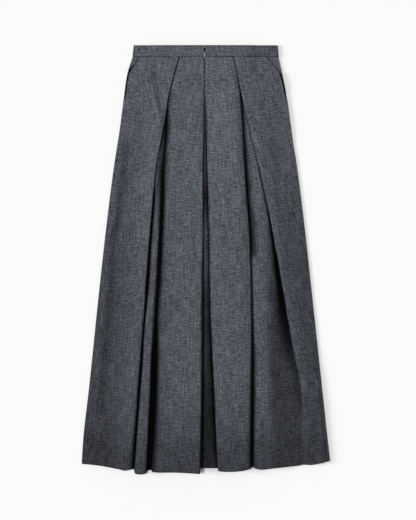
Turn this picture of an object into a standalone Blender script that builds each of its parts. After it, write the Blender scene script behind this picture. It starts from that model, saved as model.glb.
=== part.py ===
"""Pleated maxi skirt in wool cloth, laid flat with its zip side up.

X runs across the skirt, Y from the hem to the waistband and Z up from the surface that it lies on.
The origin is under the middle of the skirt's box. All sizes are in millimetres until MM turns them
into metres. A drop is a distance down the cloth from the seam under the waistband.
"""
import math
from collections import namedtuple

import bmesh
import bpy
from mathutils import Vector

MM = 0.001

# Sizes of the whole skirt
SKIRT_LENGTH = 1000.0
BAND_HEIGHT = 27.0
SEAM_GAP = 0.3
WALL = 1.2
BAND_WALL = 2.2
BAND_TOP_Y = SKIRT_LENGTH / 2
BAND_SEAM_Y = BAND_TOP_Y - BAND_HEIGHT
PANEL_TOP_Y = BAND_SEAM_Y - SEAM_GAP
LONGEST_DROP = PANEL_TOP_Y + SKIRT_LENGTH / 2
BAND_TOP_LEFT = -168.1
BAND_TOP_RIGHT = 166.9
BAND_SHOULDER = 14.0

# Heights of the middle of each layer where the skirt is pressed flat
BACK_LAYER = WALL / 2
UNDERLAY_LAYER = BACK_LAYER + WALL + SEAM_GAP
RETURN_LAYER = 4.5
FACE_LAYER = 6.9
SIDE_LAYER = UNDERLAY_LAYER + WALL + SEAM_GAP
RETURN_END = UNDERLAY_LAYER + WALL + SEAM_GAP

# Outlines and fold edges as seen from above, across the skirt at each drop
Lines = namedtuple("Lines", "drop side_left left_fold left_slot centre_left "
                            "centre_right right_slot right_fold side_right")
LINES = (
    Lines(0, -171.0, -62.7, -61.4, -3.7, -2.1, 64.2, 65.6, 169.2),
    Lines(42, -183.4, -74.2, -72.8, -3.5, -2.3, 73.0, 74.5, 178.4),
    Lines(89, -190.3, -85.9, -84.5, -3.4, -2.4, 80.6, 83.2, 187.6),
    Lines(165, -199.7, -98.0, -94.5, -4.0, 0.6, 86.3, 100.3, 197.4),
    Lines(265, -214.8, -116.7, -99.9, -6.0, 4.1, 92.6, 125.0, 212.5),
    Lines(410, -232.7, -128.6, -106.0, -6.4, 6.4, 102.2, 155.8, 230.2),
    Lines(600, -253.1, -143.0, -112.0, -7.1, 11.0, 108.0, 188.0, 250.4),
    Lines(790, -272.5, -157.0, -116.2, -9.5, 20.4, 107.5, 220.5, 270.3),
    Lines(915, -286.3, -165.0, -120.6, -11.8, 25.8, 107.2, 227.2, 283.4),
    Lines(973, -289.6, -169.0, -123.0, -13.0, 28.5, 107.0, 229.0, 289.6),
)

# How far each pleat is turned under behind its fold edge
Depths = namedtuple("Depths", "drop left_fold slot centre right_fold")
DEPTHS = (
    Depths(0, 60, 25, 14, 48),
    Depths(30, 54, 25, 14, 48),
    Depths(77, 35, 25, 14, 46),
    Depths(125, 17, 24, 14, 44),
    Depths(178, 14, 22, 26, 42),
    Depths(400, 14, 17, 26, 30),
    Depths(700, 14, 13, 26, 12),
    Depths(973, 14, 11, 26, 10),
)

# Heights of the face cloth at its fold edges and crests, which loft towards the hem
Heights = namedtuple("Heights", "drop left_swell left_fold slot crest centre right_fold right_swell")
HEIGHTS = (
    Heights(0, SIDE_LAYER, FACE_LAYER, FACE_LAYER, FACE_LAYER, FACE_LAYER, FACE_LAYER, SIDE_LAYER),
    Heights(165, 4.4, 7.0, 7.0, 7.3, 7.0, 7.2, 4.4),
    Heights(410, 6.5, 8.5, 8.5, 10.0, 9.5, 8.0, 6.5),
    Heights(600, 8.5, 11.0, 10.0, 14.0, 13.5, 8.0, 8.0),
    Heights(790, 10.5, 13.5, 11.5, 19.0, 18.0, 7.6, 9.0),
    Heights(973, 12.0, 15.0, 13.0, 23.0, 22.0, 7.2, 9.5),
)

# Side edges of the front: set in along the pocket mouths, and lifted there over the facings
Edges = namedtuple("Edges", "drop inset_left inset_right height")
EDGES = (
    Edges(0, 18.7, 24.9, SIDE_LAYER),
    Edges(21, 9.4, 14.5, 3.9),
    Edges(42, 2.0, 3.5, 5.0),
    Edges(64, 1.9, 1.6, 5.4),
    Edges(89, 2.0, 1.5, 4.2),
    Edges(125, 0.0, 0.0, SIDE_LAYER),
    Edges(165, 0.0, 0.0, SIDE_LAYER),
    Edges(215, 0.0, 0.0, UNDERLAY_LAYER),
    Edges(973, 0.0, 0.0, UNDERLAY_LAYER),
)

# Soft ridge that the left underlay pushes up in its slot
Ridge = namedtuple("Ridge", "drop gap width height")
RIDGE = (
    Ridge(0, 2.4, 12.0, UNDERLAY_LAYER),
    Ridge(300, 2.4, 13.0, UNDERLAY_LAYER),
    Ridge(427, 2.4, 17.0, 5.0),
    Ridge(600, 4.0, 18.0, 8.5),
    Ridge(790, 4.0, 23.0, 12.5),
    Ridge(973, 3.0, 27.0, 15.5),
)

# Wave of the right underlay: its rise, crest and shoulder, across from the slot beside it
Wave = namedtuple("Wave", "drop rise crest shoulder height")
WAVE = (
    Wave(0, 3.5, 10.0, 16.0, UNDERLAY_LAYER),
    Wave(430, 3.5, 12.0, 20.0, UNDERLAY_LAYER),
    Wave(567, 3.5, 18.0, 28.0, 8.5),
    Wave(707, 4.5, 22.0, 33.0, 13.5),
    Wave(973, 6.2, 24.5, 35.5, 20.0),
)

# How wide the fold edges roll over
Rolls = namedtuple("Rolls", "drop pressed soft")
ROLLS = (
    Rolls(0, 3.0, 3.0),
    Rolls(265, 3.0, 4.0),
    Rolls(973, 3.5, 13.0),
)

# Drops of the hem along each piece, in the order of its control points
SIDE_HEM_LEFT = (948.6, 949.6, 952.6, 962.8, 964.0, 963.4, 960.5, 958.0, 957.0, 957.0)
SIDE_HEM_RIGHT = (944.2, 944.8, 946.2, 949.0, 951.4, 952.2, 952.2, 951.0, 950.0, 949.0)
CENTRE_HEM_LEFT = (962.0, 965.0, 968.0, 970.6, 970.6, 967.0, 968.7, 967.0, 965.0, 963.0, 962.0)
CENTRE_HEM_RIGHT = (959.0, 961.0, 962.0, 963.0, 966.2, 965.0, 961.0, 956.0, 955.0, 954.0, 954.0)
RIDGE_HEM = (958.0, 960.0, 966.0, 972.0, 973.0, 972.6, 966.0, 964.8, 963.0)
CENTRE_UNDERLAY_HEM = 960.0
WAVE_HEM = (954.0, 956.0, 959.5, 962.5, 959.5, 953.0, 951.0)
BACK_HEM = (946.0, 953.0, 953.0, 942.0)

# Sections where the cloth is drawn, closest round the pocket mouths and the hips
STATIONS = (0, 21, 42, 64, 89, 125, 165, 215, 265, 330, 410, 500, 600, 700, 790, 870, 930, 973)
BACK_STATIONS = (0, 42, 89, 165, 265, 410, 600, 790, 973)
FACING_STATIONS = (0, 21, 42, 64, 89, 104, 160)
CENTRE_UNDERLAY_TOP = 178

# Shape of the folds: how far the cloth runs on each side of a turn before it bends
FOLD_LEAD = 3.0
STACK_LEAD = 4.0
STACK_ROLL = 6.0
SWELL_LEAD = 10.0
SWELL_ROLL = 20.0
SIDE_SHOULDER = 7.0
RIDGE_FOOT = 3.0
RIDGE_LEAN = 1.0
RIDGE_INSET = 0.4
WAVE_LEAN = 1.0
WAVE_FOOT = 8.0
WAVE_RUN = 4.0

# Shape of the crests, as shares of the width or the height that they lie on
SIDE_MIDDLE = 0.45
SHOULDER_RISE = 0.25
MIDDLE_RISE = 0.8
FOLD_SINK = 0.15
CROWN_RISE = 0.6
RIDGE_CROWN = 0.05
WAVE_BROW = 0.85
WAVE_SHOULDER = 0.92

# Pocket facings
FACING_WIDTH = 38.0
FACING_TUCK = 3.0
MOUTH_END = 89

# Zip down the middle of the waistband and the seam under it
ZIP_X = -2.9
ZIP_OPENING = 1.8
TAPE_WIDTH = 14.0
TAPE_WALL = 0.6
TAPE_TOP_Y = 491.0
TAPE_BOTTOM_Y = 298.0
TAPE_Z = RETURN_LAYER - WALL / 2 - SEAM_GAP - TAPE_WALL / 2
SLIDER_WIDTH = 5.0
SLIDER_LENGTH = 8.0
SLIDER_BOTTOM = 3.9
SLIDER_TOP = 5.5
NECK_WALL = 1.2
NECK_SPAN = 3.4
NECK_SINK = 0.5
PIVOT_Y = 484.8
PIVOT_Z = 9.4
PIN_RADIUS = 0.4
EYELET_RADIUS = 0.8
PULL_WIDTH = 3.0
PULL_TIP_WIDTH = 2.0
PULL_WALL = 1.0
PULL_LENGTH = 14.0
FORK_WIDTH = 1.8
FORK_DEPTH = 2.8
PULL_HEAD = 0.8
ROUND_SIDES = 16
WELD = 0.01

# Hook and eye at the top of the waistband
HOOK_Y = 495.5
HOOK_WIDTH = 4.0
HOOK_WALL = 0.6
HOOK_Z = 5.2
HOOK_UNDER_Z = 3.4
HOOK_LEFT = -15.0
HOOK_TURN = 2.8
HOOK_TIP = -1.6
EYE_BAR = 1.0
EYE_LENGTH = 8.0
EYE_HALF_WIDTH = 3.2
EYE_CORNER = 1.0
EYE_WIRE = 0.35
EYE_Z = 4.3
EYE_RISE = 0.85
EYE_STEPS = 3
EYE_FACETS = 2

CLOTH_COLOUR = (0.085, 0.092, 0.108)
UNDERLAY_COLOUR = (0.070, 0.076, 0.090)
TAPE_COLOUR = (0.020, 0.021, 0.025)
METAL_COLOUR = (0.62, 0.62, 0.60)
CLOTH_ROUGHNESS = 0.9
METAL_ROUGHNESS = 0.3


def value(table, column, drop):
    """A column of a table at any drop, smooth between its rows and never past them."""
    drops = [row.drop for row in table]
    values = [getattr(row, column) for row in table]
    slopes = [(values[i + 1] - values[i]) / (drops[i + 1] - drops[i]) for i in range(len(table) - 1)]
    tangents = [slopes[0]]
    for before, after in zip(slopes, slopes[1:]):
        tangents.append(2 * before * after / (before + after) if before * after > 0 else 0.0)
    tangents.append(slopes[-1])
    i = max(k for k in range(len(table) - 1) if drops[k] <= drop)
    span = drops[i + 1] - drops[i]
    t = (drop - drops[i]) / span
    return ((2 * t**3 - 3 * t**2 + 1) * values[i] + (t**3 - 2 * t**2 + t) * span * tangents[i]
            + (3 * t**2 - 2 * t**3) * values[i + 1] + (t**3 - t**2) * span * tangents[i + 1])


def rounded(points):
    """A control polygon with its corners rounded, from its first point to its last."""
    middles = [(a + b) / 2 for a, b in zip(points, points[1:])]
    samples = [points[0]]
    for before, corner, after in zip(middles, points[1:], middles[1:]):
        samples += [before, (before + 2 * corner + after) / 4]
    return samples + [middles[-1], points[-1]]


def dropped(points, hem, drop):
    """Points (x, z) of a section at a drop, each let down in step with its own place on the hem."""
    return [Vector((x, PANEL_TOP_Y - drop * reach / LONGEST_DROP, z))
            for (x, z), reach in zip(points, hem)]


def material(name, colour, roughness, metallic=0.0):
    result = bpy.data.materials.new(name)
    result.use_nodes = True
    shader = result.node_tree.nodes["Principled BSDF"]
    shader.inputs["Base Color"].default_value = (*colour, 1.0)
    shader.inputs["Roughness"].default_value = roughness
    shader.inputs["Metallic"].default_value = metallic
    return result


def add_mesh(name, points, faces, collection, look):
    mesh = bpy.data.meshes.new(name)
    mesh.from_pydata([point * MM for point in points], [], faces)
    mesh.materials.append(look)
    mesh.update()
    piece = bpy.data.objects.new(name, mesh)
    collection.objects.link(piece)
    return piece


def cloth(name, sections, wall, collection, look):
    """A wall of cloth through sections with the same number of control points."""
    rows = [rounded(section) for section in sections]
    count = len(rows[0])
    points = [point for row in rows for point in row]
    faces = [(r * count + i, r * count + i + 1, (r + 1) * count + i + 1, (r + 1) * count + i)
             for r in range(len(rows) - 1) for i in range(count - 1)]
    piece = add_mesh(name, points, faces, collection, look)
    shell = piece.modifiers.new("Cloth wall", "SOLIDIFY")
    shell.thickness = wall * MM
    shell.offset = 0.0
    shell.use_even_offset = True
    return piece


def fold(edge, inward, top, crown, roll, depth, end):
    """Control points round a folded edge, from the face cloth to the end of its return."""
    x = edge + inward * WALL / 2
    return [(x + inward * roll, crown), (x, top), (x, RETURN_LAYER),
            (x + inward * FOLD_LEAD, RETURN_LAYER), (x + inward * depth, end)]


def stack_places(drop, hand):
    """Where a side panel climbs over the layers of its pleat: the swell before and the stack."""
    name = "left_fold" if hand < 0 else "right_fold"
    edge = value(LINES, name, drop)
    depth = value(DEPTHS, name, drop)
    roll = value(ROLLS, "soft", drop)
    swell = edge + hand * max(depth + SWELL_LEAD, roll + SWELL_ROLL)
    stack = edge + hand * max(depth - STACK_LEAD, roll + STACK_ROLL)
    return swell, stack


def side_panel(drop, hand):
    """Front side panel from its side edge to the end of the return behind its fold."""
    side, name = ("left", "left_fold") if hand < 0 else ("right", "right_fold")
    outer = value(LINES, "side_" + side, drop) - hand * value(EDGES, "inset_" + side, drop)
    low = value(EDGES, "height", drop)
    swell_height = value(HEIGHTS, side + "_swell", drop)
    top = value(HEIGHTS, name, drop)
    swell, stack = stack_places(drop, hand)
    middle = outer + SIDE_MIDDLE * (swell - outer)
    points = [(outer, low), (outer - hand * SIDE_SHOULDER, low + SHOULDER_RISE * (swell_height - low)),
              (middle, low + MIDDLE_RISE * (swell_height - low)), (swell, swell_height), (stack, top)]
    points += fold(value(LINES, name, drop), hand, top - FOLD_SINK * (top - FACE_LAYER), top,
                   value(ROLLS, "soft", drop), value(DEPTHS, name, drop), RETURN_END)
    return dropped(points, SIDE_HEM_LEFT if hand < 0 else SIDE_HEM_RIGHT, drop)


def centre_panel(drop, hand):
    """Front centre panel, folded under at the middle of the skirt and at its outer slot."""
    side = "left" if hand < 0 else "right"
    inner = value(LINES, "centre_" + side, drop)
    outer = value(LINES, side + "_slot", drop)
    crest = value(HEIGHTS, "crest", drop)
    inner_top = value(HEIGHTS, "centre", drop)
    outer_top = value(HEIGHTS, "slot", drop)
    crown = outer_top + CROWN_RISE * (crest - outer_top)
    inner_end = RETURN_END if drop >= CENTRE_UNDERLAY_TOP else RETURN_LAYER
    inner_fold = fold(inner, hand, inner_top, inner_top, value(ROLLS, "pressed", drop),
                      value(DEPTHS, "centre", drop), inner_end)
    outer_fold = fold(outer, -hand, outer_top, crown, value(ROLLS, "soft", drop),
                      value(DEPTHS, "slot", drop), RETURN_END)
    points = inner_fold[::-1] + [((inner + outer) / 2, crest)] + outer_fold
    return dropped(points, CENTRE_HEM_LEFT if hand < 0 else CENTRE_HEM_RIGHT, drop)


def left_underlay(drop):
    """Underlay of the left pleat, with the ridge that shows in its slot."""
    start = value(LINES, "left_fold", drop) - value(DEPTHS, "left_fold", drop)
    end = value(LINES, "left_slot", drop) + value(DEPTHS, "slot", drop)
    left = value(LINES, "left_fold", drop) + value(RIDGE, "gap", drop)
    right = left + value(RIDGE, "width", drop)
    top = value(RIDGE, "height", drop)
    foot_left, foot_right = left + RIDGE_INSET - RIDGE_LEAN, right - RIDGE_INSET + RIDGE_LEAN
    brow_left, brow_right = left + RIDGE_INSET + RIDGE_LEAN, right - RIDGE_INSET - RIDGE_LEAN
    crown = top + RIDGE_CROWN * (top - UNDERLAY_LAYER)
    points = [(start, UNDERLAY_LAYER), (left - RIDGE_FOOT, UNDERLAY_LAYER), (foot_left, UNDERLAY_LAYER),
              (brow_left, top), ((left + right) / 2, crown), (brow_right, top),
              (foot_right, UNDERLAY_LAYER), (right + RIDGE_FOOT, UNDERLAY_LAYER), (end, UNDERLAY_LAYER)]
    return dropped(points, RIDGE_HEM, drop)


def centre_underlay(drop):
    """Flat underlay of the centre pleat."""
    depth = value(DEPTHS, "centre", drop)
    start = value(LINES, "centre_left", drop) - depth
    end = value(LINES, "centre_right", drop) + depth
    points = [(start, UNDERLAY_LAYER), ((start + end) / 2, UNDERLAY_LAYER), (end, UNDERLAY_LAYER)]
    return dropped(points, [CENTRE_UNDERLAY_HEM] * len(points), drop)


def right_underlay(drop):
    """Underlay of the right pleat, which rises beside its slot and falls away under the side."""
    slot = value(LINES, "right_slot", drop)
    edge = value(LINES, "right_fold", drop)
    top = value(WAVE, "height", drop)
    climb = top - UNDERLAY_LAYER
    rise = slot + value(WAVE, "rise", drop)
    shoulder = slot + value(WAVE, "shoulder", drop)
    points = [(slot - value(DEPTHS, "slot", drop), UNDERLAY_LAYER), (rise - WAVE_LEAN, UNDERLAY_LAYER),
              (rise + WAVE_LEAN, UNDERLAY_LAYER + WAVE_BROW * climb),
              (slot + value(WAVE, "crest", drop), top),
              (shoulder, UNDERLAY_LAYER + WAVE_SHOULDER * climb),
              (max(edge - WAVE_FOOT, shoulder + WAVE_RUN), UNDERLAY_LAYER),
              (edge + value(DEPTHS, "right_fold", drop), UNDERLAY_LAYER)]
    return dropped(points, WAVE_HEM, drop)


def back_panel(drop):
    """Plain back, flat on the surface under the whole front."""
    left = value(LINES, "side_left", drop)
    right = value(LINES, "side_right", drop)
    third = (right - left) / 3
    points = [(x, BACK_LAYER) for x in (left, left + third, right - third, right)]
    return dropped(points, BACK_HEM, drop)


def pocket_facing(drop, hand):
    """Facing that fills the corner outside a slanted pocket mouth."""
    side, hem = ("left", SIDE_HEM_LEFT) if hand < 0 else ("right", SIDE_HEM_RIGHT)
    tuck = FACING_TUCK if drop > MOUTH_END else 0.0
    outer = value(LINES, "side_" + side, drop) - hand * tuck
    inner = value(LINES, "side_" + side, drop) - hand * FACING_WIDTH
    points = [(outer, UNDERLAY_LAYER), ((outer + inner) / 2, UNDERLAY_LAYER), (inner, UNDERLAY_LAYER)]
    return dropped(points, [hem[0]] * len(points), drop)


def band_front(hand):
    """One half of the waistband over the front, from its side to the zip."""
    side, top_x = ("left", BAND_TOP_LEFT) if hand < 0 else ("right", BAND_TOP_RIGHT)
    end = ZIP_X + hand * ZIP_OPENING / 2
    swell, stack = stack_places(0, hand)
    sections = []
    for y, outer in ((BAND_SEAM_Y, value(LINES, "side_" + side, 0)), (BAND_TOP_Y, top_x)):
        points = [(outer, SIDE_LAYER), (outer - hand * BAND_SHOULDER, SIDE_LAYER), (swell, SIDE_LAYER),
                  (stack, FACE_LAYER), ((stack + end) / 2, FACE_LAYER), (end, FACE_LAYER)]
        sections.append([Vector((x, y, z)) for x, z in points])
    return sections


def band_back():
    """The waistband's back, flat on the surface."""
    sections = []
    for y, left, right in ((BAND_SEAM_Y, LINES[0].side_left, LINES[0].side_right),
                           (BAND_TOP_Y, BAND_TOP_LEFT, BAND_TOP_RIGHT)):
        points = [(left, BAND_WALL / 2), ((left + right) / 2, BAND_WALL / 2), (right, BAND_WALL / 2)]
        sections.append([Vector((x, y, z)) for x, z in points])
    return sections


def box(name, low, high, collection, look):
    """A box between two corners."""
    size = [(b - a) * MM for a, b in zip(low, high)]
    bpy.ops.mesh.primitive_cube_add(size=1.0, location=[(a + b) / 2 * MM for a, b in zip(low, high)])
    piece = bpy.context.object
    piece.name = name
    piece.data.name = name
    piece.scale = size
    bpy.ops.object.transform_apply(location=False, rotation=False, scale=True)
    return settle(piece, collection, look)


def rod(name, radius, length, centre, collection, look):
    """A round rod along X."""
    bpy.ops.mesh.primitive_cylinder_add(vertices=ROUND_SIDES, radius=radius * MM, depth=length * MM,
                                        location=[v * MM for v in centre],
                                        rotation=(0.0, math.pi / 2, 0.0))
    piece = bpy.context.object
    piece.name = name
    return settle(piece, collection, look)


def settle(piece, collection, look):
    """Move a new primitive into its collection and give it its material."""
    for owner in piece.users_collection:
        owner.objects.unlink(piece)
    collection.objects.link(piece)
    piece.data.materials.clear()
    piece.data.materials.append(look)
    return piece


def plate(name, outlines, wall, collection, look):
    """A flat plate in its own XY plane, with its first outline filled and the others cut out."""
    curve = bpy.data.curves.new(name, "CURVE")
    curve.dimensions = "2D"
    curve.fill_mode = "BOTH"
    curve.extrude = wall / 2 * MM
    for outline in outlines:
        spline = curve.splines.new("POLY")
        spline.points.add(len(outline) - 1)
        for point, (x, y) in zip(spline.points, outline):
            point.co = (x * MM, y * MM, 0.0, 1.0)
        spline.use_cyclic_u = True
    flat = bpy.data.objects.new(name + "_outline", curve)
    collection.objects.link(flat)
    graph = bpy.context.evaluated_depsgraph_get()
    mesh = bpy.data.meshes.new_from_object(flat.evaluated_get(graph))
    bpy.data.objects.remove(flat)
    edit = bmesh.new()
    edit.from_mesh(mesh)
    bmesh.ops.remove_doubles(edit, verts=edit.verts, dist=WELD * MM)
    edit.to_mesh(mesh)
    edit.free()
    mesh.materials.clear()
    mesh.materials.append(look)
    piece = bpy.data.objects.new(name, mesh)
    collection.objects.link(piece)
    return piece


def arc(centre_x, centre_y, radius, start, end, steps):
    """Points along an arc between two angles in degrees."""
    angles = [math.radians(start + (end - start) * k / steps) for k in range(steps + 1)]
    return [(centre_x + radius * math.cos(a), centre_y + radius * math.sin(a)) for a in angles]


def join(piece, other):
    """Join another solid to a piece, and keep it only as a hidden guide."""
    union = piece.modifiers.new("Join " + other.name, "BOOLEAN")
    union.operation = "UNION"
    union.object = other
    other.hide_render = True
    other.display_type = "WIRE"


def build_cloth(skirt):
    """Every piece of cloth, from the back to the waistband."""
    for name, section, hand in (("front_left_side", side_panel, -1), ("front_left_centre", centre_panel, -1),
                                ("front_right_centre", centre_panel, 1),
                                ("front_right_side", side_panel, 1)):
        cloth(name, [section(drop, hand) for drop in STATIONS], WALL, skirt,
              material(name, CLOTH_COLOUR, CLOTH_ROUGHNESS))
    centre_stations = [CENTRE_UNDERLAY_TOP] + [drop for drop in STATIONS if drop > CENTRE_UNDERLAY_TOP]
    for name, section, stations in (("left_pleat_underlay", left_underlay, STATIONS),
                                    ("centre_pleat_underlay", centre_underlay, centre_stations),
                                    ("right_pleat_underlay", right_underlay, STATIONS),
                                    ("back", back_panel, BACK_STATIONS)):
        cloth(name, [section(drop) for drop in stations], WALL, skirt,
              material(name, UNDERLAY_COLOUR, CLOTH_ROUGHNESS))
    for side, hand in (("left", -1), ("right", 1)):
        name = "pocket_facing_" + side
        cloth(name, [pocket_facing(drop, hand) for drop in FACING_STATIONS], WALL, skirt,
              material(name, UNDERLAY_COLOUR, CLOTH_ROUGHNESS))
        name = "waistband_front_" + side
        cloth(name, band_front(hand), BAND_WALL, skirt, material(name, CLOTH_COLOUR, CLOTH_ROUGHNESS))
    cloth("waistband_back", band_back(), BAND_WALL, skirt,
          material("waistband_back", CLOTH_COLOUR, CLOTH_ROUGHNESS))


def build_zip(skirt, guides):
    """The tape behind the seam, and the slider whose neck stands through the waistband's slit."""
    box("zip_tape", (ZIP_X - TAPE_WIDTH / 2, TAPE_BOTTOM_Y, TAPE_Z - TAPE_WALL / 2),
        (ZIP_X + TAPE_WIDTH / 2, TAPE_TOP_Y, TAPE_Z + TAPE_WALL / 2), skirt,
        material("zip_tape", TAPE_COLOUR, CLOTH_ROUGHNESS))
    metal = material("zip_slider", METAL_COLOUR, METAL_ROUGHNESS, 1.0)
    slider = box("zip_slider", (ZIP_X - SLIDER_WIDTH / 2, PIVOT_Y - SLIDER_LENGTH / 2, SLIDER_BOTTOM),
                 (ZIP_X + SLIDER_WIDTH / 2, PIVOT_Y + SLIDER_LENGTH / 2, SLIDER_TOP), skirt, metal)
    half = NECK_SPAN / 2
    neck_foot = SLIDER_TOP - NECK_SINK - PIVOT_Z
    outline = [(-half, neck_foot), (half, neck_foot)] + arc(0, 0, half, 0, 180, ROUND_SIDES // 2)
    eyelet = arc(0, 0, EYELET_RADIUS, 0, 360, ROUND_SIDES)[:-1]
    neck = plate("slider_neck", [outline, eyelet], NECK_WALL, guides, metal)
    neck.location = (ZIP_X * MM, PIVOT_Y * MM, PIVOT_Z * MM)
    neck.rotation_euler = (math.pi / 2, 0.0, math.pi / 2)
    join(slider, neck)


def build_pull(skirt, guides):
    """The pull tab, a forked plate that hangs from its pin in the slider's neck."""
    metal = material("zip_pull", METAL_COLOUR, METAL_ROUGHNESS, 1.0)
    half, slot, tip = PULL_WIDTH / 2, FORK_WIDTH / 2, PULL_TIP_WIDTH / 2
    outline = [(half, PULL_HEAD), (slot, PULL_HEAD), (slot, -FORK_DEPTH), (-slot, -FORK_DEPTH),
               (-slot, PULL_HEAD), (-half, PULL_HEAD)]
    outline += arc(0, tip - PULL_LENGTH, tip, 180, 360, ROUND_SIDES // 2)
    pull = plate("zip_pull", [outline], PULL_WALL, skirt, metal)
    pull.location = (ZIP_X * MM, PIVOT_Y * MM, PIVOT_Z * MM)
    pin = rod("pull_pin", PIN_RADIUS, slot + half, (ZIP_X, PIVOT_Y, PIVOT_Z), guides, metal)
    join(pull, pin)


def build_hook(skirt):
    """Hook sewn behind the left end of the waistband, and the wire eye that it holds on the right."""
    sections = []
    for y in (HOOK_Y - HOOK_WIDTH / 2, HOOK_Y + HOOK_WIDTH / 2):
        points = [(HOOK_LEFT, HOOK_Z), (EYE_BAR, HOOK_Z), (HOOK_TURN, HOOK_Z), (HOOK_TURN, HOOK_UNDER_Z),
                  (EYE_BAR, HOOK_UNDER_Z), (HOOK_TIP, HOOK_UNDER_Z)]
        sections.append([Vector((x, y, z)) for x, z in points])
    cloth("waist_hook", sections, HOOK_WALL, skirt,
          material("waist_hook", METAL_COLOUR, METAL_ROUGHNESS, 1.0))
    curve = bpy.data.curves.new("waist_eye", "CURVE")
    curve.dimensions = "3D"
    curve.bevel_depth = EYE_WIRE * MM
    curve.bevel_resolution = EYE_FACETS
    route = []
    for x, y, start in ((EYE_LENGTH, EYE_HALF_WIDTH, 0), (0, EYE_HALF_WIDTH, 90),
                        (0, -EYE_HALF_WIDTH, 180), (EYE_LENGTH, -EYE_HALF_WIDTH, 270)):
        inward_x = EYE_CORNER if x == 0 else -EYE_CORNER
        inward_y = EYE_CORNER if y < 0 else -EYE_CORNER
        route += arc(x + inward_x, y + inward_y, EYE_CORNER, start, start + 90, EYE_STEPS)
    spline = curve.splines.new("POLY")
    spline.points.add(len(route) - 1)
    for point, (x, y) in zip(spline.points, route):
        z = EYE_Z + EYE_RISE * x / EYE_LENGTH
        point.co = ((EYE_BAR + x) * MM, (HOOK_Y + y) * MM, z * MM, 1.0)
    spline.use_cyclic_u = True
    curve.materials.append(material("waist_eye", METAL_COLOUR, METAL_ROUGHNESS, 1.0))
    skirt.objects.link(bpy.data.objects.new("waist_eye", curve))


def main():
    for old in list(bpy.data.objects):
        bpy.data.objects.remove(old)
    skirt = bpy.data.collections.new("maxi_skirt")
    guides = bpy.data.collections.new("guides")
    for collection in (skirt, guides):
        bpy.context.scene.collection.children.link(collection)
    build_cloth(skirt)
    build_zip(skirt, guides)
    build_pull(skirt, guides)
    build_hook(skirt)


main()
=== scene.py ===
"""Pleated maxi skirt in charcoal wool melange, laid flat with its zip side up and seen from straight above.

X runs across the skirt, Y from the hem to the waistband and Z up from the surface that it lies on. Sizes are
in millimetres until MM turns them into metres. A drop is a distance down the cloth from the waistband's seam.
"""

import math
from collections import namedtuple

import bpy
import numpy as np
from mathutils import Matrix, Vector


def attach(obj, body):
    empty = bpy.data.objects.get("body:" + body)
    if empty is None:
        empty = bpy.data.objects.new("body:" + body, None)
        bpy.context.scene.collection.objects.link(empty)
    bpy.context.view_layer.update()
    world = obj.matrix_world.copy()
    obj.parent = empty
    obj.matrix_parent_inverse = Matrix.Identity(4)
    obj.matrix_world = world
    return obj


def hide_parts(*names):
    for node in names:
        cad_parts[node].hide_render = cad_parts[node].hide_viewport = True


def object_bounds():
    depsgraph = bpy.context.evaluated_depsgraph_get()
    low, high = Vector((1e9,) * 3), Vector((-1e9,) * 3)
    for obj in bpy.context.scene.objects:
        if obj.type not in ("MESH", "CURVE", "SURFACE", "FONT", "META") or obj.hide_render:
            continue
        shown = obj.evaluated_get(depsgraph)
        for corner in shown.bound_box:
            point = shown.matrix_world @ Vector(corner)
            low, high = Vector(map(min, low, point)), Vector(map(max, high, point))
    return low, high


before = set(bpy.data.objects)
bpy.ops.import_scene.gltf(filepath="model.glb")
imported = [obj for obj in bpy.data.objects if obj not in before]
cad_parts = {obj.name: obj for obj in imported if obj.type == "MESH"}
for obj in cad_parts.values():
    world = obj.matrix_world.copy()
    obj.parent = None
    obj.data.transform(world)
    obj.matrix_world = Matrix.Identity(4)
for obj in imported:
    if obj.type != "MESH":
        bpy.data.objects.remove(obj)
cad_low, cad_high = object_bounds()

# The back is one plain panel of wool melange, cut flared and laid flat on the surface. It is first on the
# table, and every other piece of cloth lies on it, so the skirt's outline and its fold edges are drawn here,
# with the way that a thin wall of cloth is laid through its sections and the look of the wool itself.
MM = 0.001
BAND_TOP_Y = cad_high.y / MM
SKIRT_LENGTH = 1000.0
BAND_HEIGHT = 27.0
SEAM_GAP = 0.3
BAND_SEAM_Y = BAND_TOP_Y - BAND_HEIGHT
PANEL_TOP_Y = BAND_SEAM_Y - SEAM_GAP
LONGEST_DROP = SKIRT_LENGTH - BAND_HEIGHT - SEAM_GAP
WALL = 1.2
CLOTH = 0.95
HEM_CLOTH = 1.5
HEM_TURNING = 40.0
BACK_LAYER = WALL / 2
UNDERLAY_LAYER = BACK_LAYER + WALL + SEAM_GAP
SIDE_LAYER = UNDERLAY_LAYER + WALL + SEAM_GAP
RETURN_LAYER = 4.5
FACE_LAYER = 6.9
ROW_STEP = 6.0
COLUMN_STEP = 3.0
LEAST_STEPS = 5
RIM_ROUND = 0.3
RIM_ANGLE = 55
GRAIN_SHIFT = 370.0

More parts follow.
